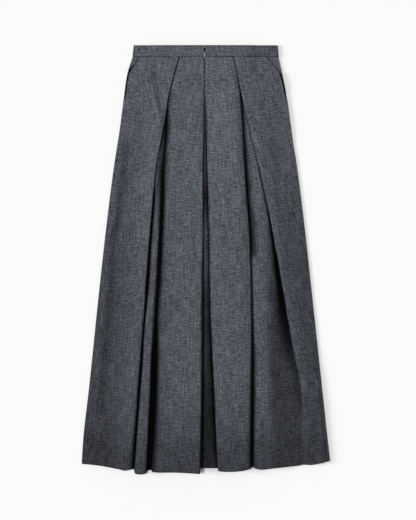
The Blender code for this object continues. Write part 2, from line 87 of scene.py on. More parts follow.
Lines = namedtuple("Lines", "drop side_left left_fold left_slot centre_left "
                            "centre_right right_slot right_fold side_right")
LINES = (
    Lines(0, -171.0, -62.7, -61.4, -3.7, -2.1, 64.2, 65.6, 169.2),
    Lines(42, -183.4, -74.2, -72.8, -3.5, -2.3, 73.0, 74.5, 178.4),
    Lines(89, -190.3, -85.9, -84.5, -3.4, -2.4, 80.6, 83.2, 187.6),
    Lines(165, -199.7, -98.0, -94.5, -4.0, 0.6, 86.3, 100.3, 197.4),
    Lines(265, -214.8, -116.7, -99.9, -6.0, 4.1, 92.6, 125.0, 212.5),
    Lines(410, -232.7, -128.6, -106.0, -6.4, 6.4, 102.2, 155.8, 230.2),
    Lines(600, -253.1, -143.0, -112.0, -7.1, 11.0, 108.0, 188.0, 250.4),
    Lines(700, -263.1, -150.5, -114.1, -8.1, 15.4, 107.8, 204.6, 260.9),
    Lines(790, -272.2, -157.0, -116.2, -9.3, 19.8, 107.5, 222.0, 270.3),
    Lines(915, -286.0, -165.0, -122.4, -11.4, 24.9, 107.2, 228.4, 283.4),
    Lines(973, -289.6, -169.0, -126.4, -12.4, 28.3, 107.0, 229.5, 289.6),
)
BACK_HEM = (946.0, 953.0, 953.0, 942.0)

# How much light reaches the cloth at each drop, least over the last stretch above the hem and at its rim
Light = namedtuple("Light", "drop level")
HEM_LIGHT = (
    Light(0, 0.95), Light(165, 0.95), Light(427, 0.88), Light(700, 0.85), Light(770, 0.82), Light(800, 0.79),
    Light(850, 0.70), Light(871, 0.66), Light(925, 0.48), Light(973, 0.42),
)
HEM_RIM = 2.5
HEM_RIM_LIGHT = 0.4
INSIDE_LIGHT = 0.35


def value(table, column, drop):
    """A column of a table at any drop, smooth between its rows and never past them."""
    drops = [row.drop for row in table]
    values = [getattr(row, column) for row in table]
    slopes = [(values[i + 1] - values[i]) / (drops[i + 1] - drops[i]) for i in range(len(table) - 1)]
    tangents = [slopes[0]]
    for before, after in zip(slopes, slopes[1:]):
        tangents.append(2 * before * after / (before + after) if before * after > 0 else 0.0)
    tangents.append(slopes[-1])
    i = max(k for k in range(len(table) - 1) if drops[k] <= drop)
    span = drops[i + 1] - drops[i]
    t = (drop - drops[i]) / span
    return ((2 * t**3 - 3 * t**2 + 1) * values[i] + (t**3 - 2 * t**2 + t) * span * tangents[i]
            + (3 * t**2 - 2 * t**3) * values[i + 1] + (t**3 - t**2) * span * tangents[i + 1])


def smooth(t):
    """Rises softly from 0 to 1 as t does."""
    t = np.clip(t, 0.0, 1.0)
    return t * t * (3 - 2 * t)


def dropped(points, hem, drop):
    """Points (x, z) of a section at a drop, each let down in step with its own place on the hem."""
    return np.array([(x, PANEL_TOP_Y - drop * reach / LONGEST_DROP, z) for (x, z), reach in zip(points, hem)])


def rounded(points, steps):
    """The section through a control polygon with its corners rounded, with so many steps to a span."""
    middles = (points[:-1] + points[1:]) / 2
    parts = [points[:1] + (middles[0] - points[0]) * np.linspace(0, 1, steps[0], endpoint=False)[:, None]]
    for before, corner, after, count in zip(middles, points[1:-1], middles[1:], steps[1:-1]):
        t = np.linspace(0, 1, count, endpoint=False)[:, None]
        parts.append((1 - t) ** 2 * before + 2 * t * (1 - t) * corner + t ** 2 * after)
    parts.append(middles[-1] + (points[-1] - middles[-1]) * np.linspace(0, 1, steps[-1] + 1)[:, None])
    return np.concatenate(parts)


def span_steps(points, column_step=COLUMN_STEP):
    """How many steps each span of a control polygon takes, for columns about so far apart."""
    middles = (points[:-1] + points[1:]) / 2
    ends = np.concatenate([points[:1], middles, points[-1:]])
    lengths = np.linalg.norm(np.diff(ends, axis=0), axis=1)
    return [max(LEAST_STEPS, math.ceil(length / column_step)) for length in lengths]


def drops_between(top, bottom, row_step=ROW_STEP):
    """Drops from one to another, about row_step apart."""
    return np.linspace(top, bottom, math.ceil((bottom - top) / row_step) + 1)


def drops_to_hem(top):
    """Drops down to the hem, with one more just above its rim."""
    return np.append(drops_between(top, 973 - HEM_RIM), 973)


def hem_shades(shading, drops, rows):
    """Shades by shading(drop, points), with the light that reaches each drop, and darker at the hem's rim."""
    shades = [shading(drop, row) * value(HEM_LIGHT, "level", drop) for drop, row in zip(drops, rows)]
    if drops[-1] == 973:
        shades[-1] = shades[-1] * HEM_RIM_LIGHT
    return shades


def lay_cloth(name, rows, shades, look, cloth=CLOTH, turning=HEM_TURNING, hem_cloth=HEM_CLOTH):
    """A thin wall of cloth through rows of points, with its grain as UV and its shade at every point."""
    rows = np.array(rows)
    deep, wide = rows.shape[:2]
    mesh = bpy.data.meshes.new(name)
    faces = [(r * wide + i, r * wide + i + 1, (r + 1) * wide + i + 1, (r + 1) * wide + i)
             for r in range(deep - 1) for i in range(wide - 1)]
    mesh.from_pydata((rows.reshape(-1, 3) * MM).tolist(), [], faces)
    across = np.zeros((deep, wide))
    across[:, 1:] = np.cumsum(np.linalg.norm(np.diff(rows, axis=1), axis=2), axis=1)
    across += GRAIN_SHIFT * len(bpy.data.meshes) - across[:, wide // 2][:, None]
    down = np.zeros((deep, wide))
    down[1:] = np.cumsum(np.linalg.norm(np.diff(rows, axis=0), axis=2), axis=0)
    grain = np.stack([across, down], axis=2).reshape(-1, 2) * MM
    corners = np.empty(len(mesh.loops), np.int32)
    mesh.loops.foreach_get("vertex_index", corners)
    mesh.uv_layers.new(name="grain").data.foreach_set("uv", grain[corners].astype(np.float32).ravel())
    shade = mesh.attributes.new("shade", "FLOAT", "POINT")
    shade.data.foreach_set("value", np.array(shades, np.float32).ravel())
    mesh.shade_smooth()
    piece = bpy.data.objects.new(name, mesh)
    bpy.context.scene.collection.objects.link(piece)
    mesh.materials.append(look)
    wall = piece.modifiers.new("Cloth wall", "SOLIDIFY")
    wall.offset = 0.0
    wall.use_even_offset = True
    wall.thickness = cloth * MM
    if turning:
        hem = piece.vertex_groups.new(name="turned-up hem")
        above = (down[-1][None, :] - down).ravel()
        weights = np.clip((turning - above) / ROW_STEP + 0.5, 0.0, 1.0)
        for i in np.nonzero(weights > 0)[0]:
            hem.add([int(i)], float(weights[i]), "REPLACE")
        wall.vertex_group = hem.name
        wall.thickness = hem_cloth * MM
        wall.thickness_vertex_group = cloth / hem_cloth
    rim = piece.modifiers.new("Rounded rim", "BEVEL")
    rim.width = RIM_ROUND * MM
    rim.segments = 2
    rim.limit_method = "ANGLE"
    rim.angle_limit = math.radians(RIM_ANGLE)
    return piece


class Field:
    """A number, colour or vector that varies over a surface: a node's socket, whose arithmetic adds nodes."""

    def __init__(self, socket):
        self.socket = socket

    @staticmethod
    def node(tree, kind, settings=None, inputs=None, output=0):
        """A node of a kind, with its settings made first, then the values or links of its sockets."""
        made = tree.nodes.new(kind)
        for name, setting in (settings or {}).items():
            if name == "stops":
                for place, colour in setting[2:]:
                    made.color_ramp.elements.new(place)
                for stop, (place, colour) in zip(made.color_ramp.elements, setting):
                    stop.position, stop.color = place, colour
            else:
                setattr(made, name, setting)
        for name, given in (inputs or {}).items():
            if isinstance(given, Field):
                tree.links.new(given.socket, made.inputs[name])
            else:
                made.inputs[name].default_value = given
        return Field(made.outputs[output])

    def maths(self, operation, *inputs):
        settings = {"operation": operation}
        return Field.node(self.socket.id_data, "ShaderNodeMath", settings, dict(enumerate(inputs)))

    def __add__(self, other):
        return self.maths("ADD", self, other)

    def __mul__(self, other):
        return self.maths("MULTIPLY", self, other)

    def __sub__(self, other):
        return self.maths("SUBTRACT", self, other)

    def __rsub__(self, other):
        return self.maths("SUBTRACT", other, self)

    def __pow__(self, power):
        return self.maths("POWER", self, power)

    __radd__ = __add__
    __rmul__ = __mul__

    def sine(self):
        return self.maths("SINE", self)

    def between(self, low, high):
        return self.maths("MINIMUM", self.maths("MAXIMUM", self, low), high)


def new_look(name, **constants):
    """A material with a Principled shader, its constant values set on the shader's own sockets."""
    look = bpy.data.materials.new(name)
    look.use_nodes = True
    shader = look.node_tree.nodes["Principled BSDF"]
    for socket, constant in constants.items():
        shader.inputs[socket.replace("_", " ")].default_value = constant
    return look, look.node_tree, shader


def colour_mix(tree, factor, first, second):
    """One colour turned into another by a factor."""
    return Field.node(tree, "ShaderNodeMix", {"data_type": "RGBA"}, {0: factor, 6: first, 7: second}, 2)


# The wool: dark and pale fibres blended before spinning, then woven plain, so that the cloth is speckled at
# the size of its slubs and faintly barred along and across where one thread came out paler.
PALE_FIBRE = (0.186, 0.200, 0.236, 1.0)
DARK_FIBRE = (0.0, 0.0, 0.0, 1.0)
THREADS_PER_METRE = 900.0
SPECKLES_PER_METRE = 400.0
SLUBS_PER_METRE = 330.0
WEFT_SLUB_LENGTHS_PER_METRE = 60.0
WARP_SLUB_LENGTHS_PER_METRE = 25.0
CLOUDS_PER_METRE = 28.0


def wool(name, turned=False):
    """The look of the wool melange, with its threads along the grain."""
    look, tree, shader = new_look(name, Roughness=0.92, Specular_IOR_Level=0.05, Sheen_Weight=0.01,
                                  Sheen_Roughness=0.6)
    grain = Field.node(tree, "ShaderNodeUVMap", {"uv_map": "grain"})
    across, down = (Field.node(tree, "ShaderNodeSeparateXYZ", None, {0: grain}, k) for k in (0, 1))
    if turned:
        across, down = down, across

    def speckle(per_across, per_down, detail):
        place = Field.node(tree, "ShaderNodeCombineXYZ", None, {0: across * per_across, 1: down * per_down})
        return Field.node(tree, "ShaderNodeTexNoise", {"noise_dimensions": "2D"},
                          {"Vector": place, "Scale": 1.0, "Detail": detail, "Roughness": 0.6}) - 0.5

    melange = speckle(SPECKLES_PER_METRE, SPECKLES_PER_METRE, 1.0)
    bars = speckle(WEFT_SLUB_LENGTHS_PER_METRE, SLUBS_PER_METRE, 1.0)
    stripes = speckle(SLUBS_PER_METRE, WARP_SLUB_LENGTHS_PER_METRE, 1.0)
    clouds = speckle(CLOUDS_PER_METRE, CLOUDS_PER_METRE, 2.0)
    warp = (across * (2 * math.pi * THREADS_PER_METRE)).sine()
    weft = (down * (2 * math.pi * THREADS_PER_METRE)).sine()
    weave = warp * weft
    # Painted light and shade: the shade kept at each point of the cloth darkens or lightens the wool's colour
    shade = Field.node(tree, "ShaderNodeAttribute", {"attribute_name": "shade"}, None, 2)
    fibres = 0.7 + 0.93 * melange + 0.51 * bars + 0.44 * stripes + 0.15 * clouds + 0.03 * weave
    level = fibres.between(0.0, 1.4) ** 2.0 * shade
    colour = colour_mix(tree, level.between(0.0, 1.0), DARK_FIBRE, PALE_FIBRE)
    tree.links.new(colour.socket, shader.inputs["Base Color"])
    nap = weave + 3.0 * melange
    bump = Field.node(tree, "ShaderNodeBump", None, {"Strength": 0.35, "Distance": 0.25 * MM, "Height": nap})
    tree.links.new(bump.socket, shader.inputs["Normal"])
    return look


wool_melange = wool("wool melange")


def back_panel(drop):
    """Plain back, flat on the surface under the whole front."""
    left = value(LINES, "side_left", drop)
    right = value(LINES, "side_right", drop)
    third = (right - left) / 3
    points = [(x, BACK_LAYER) for x in (left, left + third, right - third, right)]
    return dropped(points, BACK_HEM, drop)


def lay_panel(name, section, drops, shading, look=wool_melange, column_step=COLUMN_STEP, **kept):
    """A panel through its sections at many drops, with shading(drop, points) for its shade."""
    steps = span_steps(section(drops[-1]), column_step)
    rows = [rounded(section(drop), steps) for drop in drops]
    return lay_cloth(name, rows, hem_shades(shading, drops, rows), look, **kept)


back = lay_panel("back_cloth", back_panel, drops_to_hem(0),
                 lambda drop, row: np.full(len(row), INSIDE_LIGHT), hem_cloth=WALL)
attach(back, "skirt")
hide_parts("back")

# Each pleat has a strip of the same wool behind it, pressed flat at the waist. Towards the hem the left one
# is pushed up into a soft ridge that fills its slot, and little light reaches the bottom of the centre one.
Depths = namedtuple("Depths", "drop left_fold slot centre right_fold")
DEPTHS = (
    Depths(0, 60, 25, 14, 48),
    Depths(30, 54, 25, 14, 48),
    Depths(77, 35, 25, 14, 46),
    Depths(125, 17, 24, 14, 44),
    Depths(178, 14, 22, 26, 42),
    Depths(400, 14, 17, 26, 30),
    Depths(700, 14, 13, 26, 12),
    Depths(973, 14, 11, 26, 10),
)
Ridge = namedtuple("Ridge", "drop gap width height")
RIDGE = (
    Ridge(0, 2.4, 12.0, UNDERLAY_LAYER),
    Ridge(300, 2.4, 13.0, UNDERLAY_LAYER),
    Ridge(427, 2.4, 17.0, 5.0),
    Ridge(600, 4.0, 18.0, 8.5),
    Ridge(790, 4.0, 23.0, 12.5),
    Ridge(973, 3.0, 27.0, 15.5),
)
# Light along the left underlay, and where its shades begin and end on either side
RidgeLight = namedtuple("RidgeLight", "drop level start left_fade reach right_fade")
RIDGE_LIGHT = (
    RidgeLight(0, 0.05, 0.0, 4, 1.5, 8),
    RidgeLight(100, 0.05, 0.0, 4, 1.5, 8),
    RidgeLight(165, 0.1, -2.0, 4, 1.5, 8),
    RidgeLight(252, 0.44, -4.0, 3, 1.5, 14),
    RidgeLight(300, 0.56, -2.5, 4, 2.5, 12),
    RidgeLight(334, 0.70, 0.9, 4, 3.5, 11),
    RidgeLight(427, 0.88, 0.8, 4, 2.2, 5.5),
    RidgeLight(520, 0.92, 1.6, 4, 3.0, 5),
    RidgeLight(614, 0.94, -1.6, 4, 3.4, 5),
    RidgeLight(660, 0.94, -1.6, 4, 3.0, 5),
    RidgeLight(707, 0.88, -0.2, 4, 1.8, 6),
    RidgeLight(800, 0.92, -1.0, 4, 3.0, 6),
    RidgeLight(871, 1.02, -2.0, 4, 2.5, 6.2),
    RidgeLight(973, 1.15, -2.5, 4, 2.0, 5.5),
)
RIDGE_HEM = (958.0, 960.0, 966.0, 972.0, 973.0, 972.6, 966.0, 964.8, 963.0)
RIDGE_FOOT = 3.0
RIDGE_LEAN = 1.0
RIDGE_INSET = 0.4
RIDGE_CROWN = 0.05
CENTRE_UNDERLAY_TOP = 178
CENTRE_UNDERLAY_HEM = 960.0
SlotLight = namedtuple("SlotLight", "drop level right_fade")
CENTRE_SLOT_LIGHT = (
    SlotLight(178, 0.30, 4), SlotLight(252, 0.36, 4), SlotLight(334, 0.14, 5), SlotLight(427, 0.62, 5),
    SlotLight(520, 0.46, 7), SlotLight(614, 0.22, 10), SlotLight(707, 0.32, 16), SlotLight(800, 0.20, 16),
    SlotLight(871, 0.19, 14), SlotLight(925, 0.30, 12), SlotLight(973, 0.45, 8),
)
CENTRE_SLOT_START = -3.5
CENTRE_SLOT_FADE = 5.0


def left_underlay(drop):
    """Underlay of the left pleat, with the ridge that shows in its slot."""
    start = value(LINES, "left_fold", drop) - value(DEPTHS, "left_fold", drop)
    end = value(LINES, "left_slot", drop) + value(DEPTHS, "slot", drop)
    left = value(LINES, "left_fold", drop) + value(RIDGE, "gap", drop)
    right = left + value(RIDGE, "width", drop)
    top = value(RIDGE, "height", drop)
    foot_left, foot_right = left + RIDGE_INSET - RIDGE_LEAN, right - RIDGE_INSET + RIDGE_LEAN
    brow_left, brow_right = left + RIDGE_INSET + RIDGE_LEAN, right - RIDGE_INSET - RIDGE_LEAN
    crown = top + RIDGE_CROWN * (top - UNDERLAY_LAYER)
    points = [(start, UNDERLAY_LAYER), (left - RIDGE_FOOT, UNDERLAY_LAYER), (foot_left, UNDERLAY_LAYER),
              (brow_left, top), ((left + right) / 2, crown), (brow_right, top),
              (foot_right, UNDERLAY_LAYER), (right + RIDGE_FOOT, UNDERLAY_LAYER), (end, UNDERLAY_LAYER)]
    return dropped(points, RIDGE_HEM, drop)


def ridge_shade(drop, row):
    left = value(LINES, "left_fold", drop) + value(RIDGE, "gap", drop)
    right = left + value(RIDGE, "width", drop)
    from_left = row[:, 0] - left - value(RIDGE_LIGHT, "start", drop)
    from_right = right + value(RIDGE_LIGHT, "reach", drop) - row[:, 0]
    return (value(RIDGE_LIGHT, "level", drop) * smooth(from_left / value(RIDGE_LIGHT, "left_fade", drop))
            * smooth(from_right / value(RIDGE_LIGHT, "right_fade", drop)))


def centre_underlay(drop):
    """Flat underlay of the centre pleat."""
    depth = value(DEPTHS, "centre", drop)
    start = value(LINES, "centre_left", drop) - depth
    end = value(LINES, "centre_right", drop) + depth
    points = [(start, UNDERLAY_LAYER), ((start + end) / 2, UNDERLAY_LAYER), (end, UNDERLAY_LAYER)]
    return dropped(points, [CENTRE_UNDERLAY_HEM] * len(points), drop)


def centre_slot_shade(drop, row):
    left = row[:, 0] - value(LINES, "centre_left", drop)
    right = value(LINES, "centre_right", drop) - row[:, 0]
    lit = (smooth((left - CENTRE_SLOT_START) / CENTRE_SLOT_FADE)
           * smooth(right / value(CENTRE_SLOT_LIGHT, "right_fade", drop)))
    return value(CENTRE_SLOT_LIGHT, "level", drop) * lit


for name, section, top, shading, flat, area in (
        ("left_pleat_cloth", left_underlay, 0, ridge_shade, (0.132, 1.02), 0.0845),
        ("centre_pleat_cloth", centre_underlay, CENTRE_UNDERLAY_TOP, centre_slot_shade, (0.112, 0.84), 0.0745)):
    piece = lay_panel(name, section, drops_to_hem(top), shading)
    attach(piece, "skirt")
    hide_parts(name.replace("cloth", "underlay"))

# A facing of the same wool fills the corner outside each slanted pocket mouth. It is sewn into the side seam
# and the waistband, and the mouth's pressed edge stands a little off it.
FACING_WIDTH = 38.0
FACING_TUCK = 3.0
FACING_END = 160
MOUTH_END = 89
MOUTH_FADE = 1.6
MOUTH_STEP = 0.7
MOUTH_ROW_STEP = 2.0
# Painted shadow along each pocket mouth: the width and darkness of the shadow on the facing, the darkness of the
# side panel's rim, and the facing's painted light
MouthLine = namedtuple("MouthLine", "drop width_left dark_left rim_left width_right dark_right rim_right light")
MOUTH_LINES = (
    MouthLine(0, 1.3, 0.6, 0.1, 1.2, 0.5, 0.1, 0.9),
    MouthLine(14, 1.7, 0.8, 0.25, 1.4, 0.6, 0.2, 0.9),
    MouthLine(22, 2.4, 1.0, 0.6, 1.4, 0.7, 0.3, 0.8),
    MouthLine(34, 3.4, 1.0, 1.0, 1.2, 0.7, 0.3, 0.8),
    MouthLine(46, 3.6, 1.0, 1.0, 3.6, 1.0, 1.0, 0.8),
    MouthLine(80, 3.6, 1.0, 1.0, 3.6, 1.0, 1.0, 0.5),
    MouthLine(92, 2.4, 0.8, 0.7, 2.4, 0.8, 0.7, 0.5),
    MouthLine(110, 1.0, 0.2, 0.0, 1.0, 0.2, 0.0, 0.5),
    MouthLine(973, 1.0, 0.0, 0.0, 1.0, 0.0, 0.0, 0.5),
)
PANEL_EDGE_FLAT = 1.6
PANEL_EDGE_FADE = 1.6
SIDE_HEM_LEFT = (949.4, 950.2, 952.4, 961.2, 965.0, 963.4, 960.5, 958.0, 957.0, 957.0)
SIDE_HEM_RIGHT = (944.2, 944.8, 946.2, 949.0, 951.4, 952.2, 952.2, 951.0, 950.0, 949.0)
Edges = namedtuple("Edges", "drop inset_left inset_right height")
EDGES = (
    Edges(0, 18.7, 24.9, SIDE_LAYER),
    Edges(21, 9.4, 14.5, 3.9),
    Edges(42, 2.0, 3.5, 5.0),
    Edges(64, 1.9, 1.6, 5.4),
    Edges(89, 2.0, 1.5, 4.2),
    Edges(125, 0.0, 0.0, SIDE_LAYER),
    Edges(165, 0.0, 0.0, SIDE_LAYER),
    Edges(215, 0.0, 0.0, UNDERLAY_LAYER),
    Edges(973, 0.0, 0.0, UNDERLAY_LAYER),
)


def side_name(hand):
    return "left" if hand < 0 else "right"


def mouth_edge(drop, hand):
    """Where the side panel ends: along its pocket mouth, and on its side seam below it."""
    side = side_name(hand)
    return value(LINES, "side_" + side, drop) - hand * value(EDGES, "inset_" + side, drop)


def pocket_facing(drop, hand):
    """Facing that fills the corner outside a slanted pocket mouth."""
    hem = SIDE_HEM_LEFT if hand < 0 else SIDE_HEM_RIGHT
    tuck = FACING_TUCK if drop > MOUTH_END else 0.0
    outer = value(LINES, "side_" + side_name(hand), drop) - hand * tuck
    inner = value(LINES, "side_" + side_name(hand), drop) - hand * FACING_WIDTH
    points = [(outer, UNDERLAY_LAYER), ((outer + inner) / 2, UNDERLAY_LAYER), (inner, UNDERLAY_LAYER)]
    return dropped(points, [hem[0]] * len(points), drop)


for hand in (-1, 1):
    def facing_shade(drop, row, hand=hand):
        outside = hand * (row[:, 0] - mouth_edge(drop, hand))
        side = side_name(hand)
        lit = smooth((outside - value(MOUTH_LINES, "width_" + side, drop)) / MOUTH_FADE)
        return value(MOUTH_LINES, "light", drop) * (1 - value(MOUTH_LINES, "dark_" + side, drop) * (1 - lit))

    facing = lay_panel("pocket_facing_cloth_" + side_name(hand),
                       lambda drop, hand=hand: pocket_facing(drop, hand),
                       drops_between(0, FACING_END, MOUTH_ROW_STEP), facing_shade, column_step=MOUTH_STEP,
                       turning=0)
    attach(facing, "skirt")
    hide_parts("pocket_facing_" + side_name(hand))

# The front's four panels are folded under along their pleats and pressed at the waist. The folds open and
# roll softly towards the hem. Right of the right pleat the cloth runs on over a wave, and below the knee the
# last fold dies out into a valley, so that underlay and side panel are one stretch of cloth here.
Heights = namedtuple("Heights", "drop left_swell left_fold slot crest centre right_fold right_swell")
HEIGHTS = (
    Heights(0, SIDE_LAYER, FACE_LAYER, FACE_LAYER, FACE_LAYER, FACE_LAYER, FACE_LAYER, SIDE_LAYER),
    Heights(165, 4.4, 7.0, 7.0, 7.3, 7.0, 7.2, 4.4),
    Heights(410, 6.5, 8.5, 8.5, 10.0, 9.5, 8.0, 6.5),
    Heights(600, 8.5, 11.0, 10.0, 14.0, 13.5, 8.0, 8.0),
    Heights(790, 10.5, 13.5, 11.5, 19.0, 18.0, 7.6, 9.0),
    Heights(973, 12.0, 15.0, 13.0, 23.0, 22.0, 7.2, 9.5),
)
Wave = namedtuple("Wave", "drop rise crest shoulder height")
WAVE = (
    Wave(0, 3.5, 10.0, 16.0, UNDERLAY_LAYER),
    Wave(430, 3.5, 12.0, 20.0, UNDERLAY_LAYER),
    Wave(567, 3.5, 18.0, 28.0, 8.5),
    Wave(707, 4.5, 22.0, 33.0, 13.5),
    Wave(973, 6.2, 24.5, 35.5, 20.0),
)
Rolls = namedtuple("Rolls", "drop pressed soft")
ROLLS = (Rolls(0, 3.0, 3.0), Rolls(265, 3.0, 4.0), Rolls(973, 3.5, 13.0))
CENTRE_HEM_LEFT = (962.0, 965.0, 968.0, 971.2, 971.0, 967.2, 968.7, 967.0, 965.0, 963.0, 962.0)
CENTRE_HEM_RIGHT = (959.0, 961.0, 962.0, 962.4, 965.9, 966.4, 963.2, 958.4, 957.0, 955.0, 955.0)
RIGHT_HEM = (943.4, 943.8, 945.6, 949.2, 951.8, 952.0, 951.8, 951.6, 951.4, 951.4, 951.4, 953.6, 960.2, 962.0,
             959.5, 956.0, 954.0)
RETURN_END = UNDERLAY_LAYER + WALL + SEAM_GAP
FOLD_LEAD = 3.0
STACK_LEAD = 4.0
STACK_ROLL = 6.0
SWELL_LEAD = 10.0
SWELL_ROLL = 20.0
SIDE_SHOULDER = 7.0
WAVE_LEAN = 1.0
WAVE_FOOT = 8.0
WAVE_RUN = 4.0
SIDE_MIDDLE = 0.45
SHOULDER_RISE = 0.25
MIDDLE_RISE = 0.8
FOLD_SINK = 0.15
CROWN_RISE = 0.6
WAVE_BROW = 0.85
WAVE_SHOULDER = 0.92
FOLD_FADES_AT = 790
FOLD_GONE_AT = 880

# The shade of each fold edge on its own panel: where it ends at the edge's side, its width and its darkness
EdgeShade = namedtuple("EdgeShade", "drop start fade dark")
EDGE_SHADES = {
    "left_fold": (
        EdgeShade(0, -1, 2.6, 0.5), EdgeShade(30, -1.2, 2.8, 0.65), EdgeShade(65, -1.8, 3.2, 0.75),
        EdgeShade(100, -2.3, 3.4, 0.85), EdgeShade(170, -2.3, 5.8, 1), EdgeShade(252, -3.2, 3.5, 0.2),
        EdgeShade(290, -3.4, 4.5, 0.3),
        EdgeShade(334, -3.4, 9, 0.95), EdgeShade(427, -0.1, 5, 1), EdgeShade(520, 0.1, 5.5, 1),
        EdgeShade(614, -2.3, 7, 1), EdgeShade(707, -2.3, 9, 1), EdgeShade(801, -0.8, 7.5, 1),
        EdgeShade(871, -0.3, 10, 1), EdgeShade(929, 0, 13, 1), EdgeShade(973, 0, 13, 1)),
    "left_slot": (
        EdgeShade(0, 0.5, 2.5, 0.6), EdgeShade(65, 0.3, 2.8, 0.7), EdgeShade(100, 0, 5.5, 0.9),
        EdgeShade(170, 2.3, 15, 1), EdgeShade(252, 1, 13.5, 1), EdgeShade(334, 3.8, 11, 1),
        EdgeShade(427, 4.3, 8.5, 1), EdgeShade(520, 2.3, 11, 1), EdgeShade(614, -2.6, 13, 1),
        EdgeShade(707, 0.8, 10, 1), EdgeShade(801, 0.6, 11.5, 1), EdgeShade(871, -0.5, 16, 1),
        EdgeShade(929, -2.2, 18, 1), EdgeShade(973, -2.8, 18, 0.95)),
    "centre_left": (
        EdgeShade(0, -2, 5, 0.3), EdgeShade(30, -2, 5, 0.3), EdgeShade(65, -2, 5, 0.3),
        EdgeShade(100, -2, 12, 0.6), EdgeShade(170, -2, 12, 0.65), EdgeShade(252, -2, 8, 0.7),
        EdgeShade(334, -1.6, 6, 0.8), EdgeShade(427, -2.2, 8.5, 0.8), EdgeShade(520, 0, 7, 1),
        EdgeShade(614, -0.6, 9.5, 1), EdgeShade(707, -1, 8.5, 1), EdgeShade(801, -1.6, 7.5, 1),
        EdgeShade(871, -1.4, 7.5, 1), EdgeShade(973, -1.9, 7, 1)),
    "centre_right": (
        EdgeShade(0, -1, 3, 0.3), EdgeShade(65, -1, 3, 0.3), EdgeShade(100, 0.2, 4, 0.75),
        EdgeShade(170, 0, 6, 0.9), EdgeShade(252, -2.5, 4, 0.9), EdgeShade(334, -1, 7, 0.9),
        EdgeShade(427, -1.5, 8, 0.95), EdgeShade(520, -1.9, 8, 0.9), EdgeShade(614, -2, 6.5, 0.9),
        EdgeShade(707, -3, 7, 0.9), EdgeShade(801, -2.3, 7, 0.9), EdgeShade(871, -2.2, 6, 0.9),
        EdgeShade(973, -2.2, 5, 0.9)),
    "right_slot": (
        EdgeShade(0, -1.5, 3, 0.4), EdgeShade(30, -1.5, 3, 0.4), EdgeShade(65, -1.2, 4.5, 0.9),
        EdgeShade(100, -0.4, 4.5, 1), EdgeShade(170, -1.0, 5.5, 1), EdgeShade(252, 0.6, 4.5, 1),
        EdgeShade(334, 0.9, 5, 1), EdgeShade(427, -0.4, 5.5, 1), EdgeShade(520, -0.8, 6, 1),
        EdgeShade(614, -0.4, 6, 1), EdgeShade(707, -1.2, 8, 1), EdgeShade(801, -0.6, 11, 1),
        EdgeShade(871, 0.3, 9.5, 1), EdgeShade(929, 0, 12, 1), EdgeShade(973, 0, 12, 1)),
    "right_fold": (
        EdgeShade(0, -1.5, 3, 0.5), EdgeShade(30, -1.5, 3, 0.4), EdgeShade(65, -0.8, 2.6, 0.8),
        EdgeShade(100, -0.4, 3, 0.9), EdgeShade(170, -0.5, 3, 0.6), EdgeShade(252, -1, 3, 0.75),
        EdgeShade(334, -1.5, 3.5, 0.95), EdgeShade(427, -3.4, 4, 1), EdgeShade(520, -2.9, 5.5, 1),
        EdgeShade(614, -5.6, 10, 1), EdgeShade(707, -6.5, 10, 0.85), EdgeShade(801, -5.5, 11, 0.4),
        EdgeShade(871, -5, 11, 0), EdgeShade(973, -5, 11, 0)),
}
# A slower shade on each centre panel, towards its outer slot
SlowShade = namedtuple("SlowShade", "drop width left right")
SLOW_SHADES = (
    SlowShade(0, 20, 0.0, 0.05), SlowShade(65, 20, 0.02, 0.3), SlowShade(170, 24, 0.32, 0.46),
    SlowShade(252, 24, 0.24, 0.46), SlowShade(334, 22, 0.18, 0.40), SlowShade(427, 34, 0.24, 0.25),
    SlowShade(520, 38, 0.30, 0.25), SlowShade(614, 38, 0.30, 0.22), SlowShade(707, 40, 0.30, 0.05),
    SlowShade(800, 40, 0.27, 0.05), SlowShade(973, 36, 0.1, 0.0),
)
CentreLight = namedtuple("CentreLight", "drop left right")
CENTRE_LIGHT = (
    CentreLight(0, 1.02, 1.06), CentreLight(100, 1.0, 1.10), CentreLight(170, 1.02, 1.11),
    CentreLight(334, 1.04, 1.09), CentreLight(520, 1.02, 1.04), CentreLight(700, 1.0, 1.04),
    CentreLight(973, 1.0, 1.0),
)


def fold(edge, inward, top, crown, roll, depth, end):
    """Control points round a folded edge, from the face cloth to the end of its return."""
    x = edge + inward * WALL / 2
    return [(x + inward * roll, crown), (x, top), (x, RETURN_LAYER),
            (x + inward * FOLD_LEAD, RETURN_LAYER), (x + inward * depth, end)]


def stack_places(drop, hand):
    """Where a side panel climbs over the layers of its pleat: the swell before and the stack."""
    name = side_name(hand) + "_fold"
    edge = value(LINES, name, drop)
    depth = value(DEPTHS, name, drop)
    roll = value(ROLLS, "soft", drop)
    swell = edge + hand * max(depth + SWELL_LEAD, roll + SWELL_ROLL)
    stack = edge + hand * max(depth - STACK_LEAD, roll + STACK_ROLL)
    return swell, stack


def side_panel(drop, hand):
    """Control points of a side panel from its side edge to the end of the return behind its fold."""
    name = side_name(hand) + "_fold"
    outer = mouth_edge(drop, hand)
    low = value(EDGES, "height", drop)
    swell_height = value(HEIGHTS, side_name(hand) + "_swell", drop)
    top = value(HEIGHTS, name, drop)
    swell, stack = stack_places(drop, hand)
    middle = outer + SIDE_MIDDLE * (swell - outer)
    points = [(outer, low), (outer - hand * SIDE_SHOULDER, low + SHOULDER_RISE * (swell_height - low)),
              (middle, low + MIDDLE_RISE * (swell_height - low)), (swell, swell_height), (stack, top)]
    return points + fold(value(LINES, name, drop), hand, top - FOLD_SINK * (top - FACE_LAYER), top,
                         value(ROLLS, "soft", drop), value(DEPTHS, name, drop), RETURN_END)


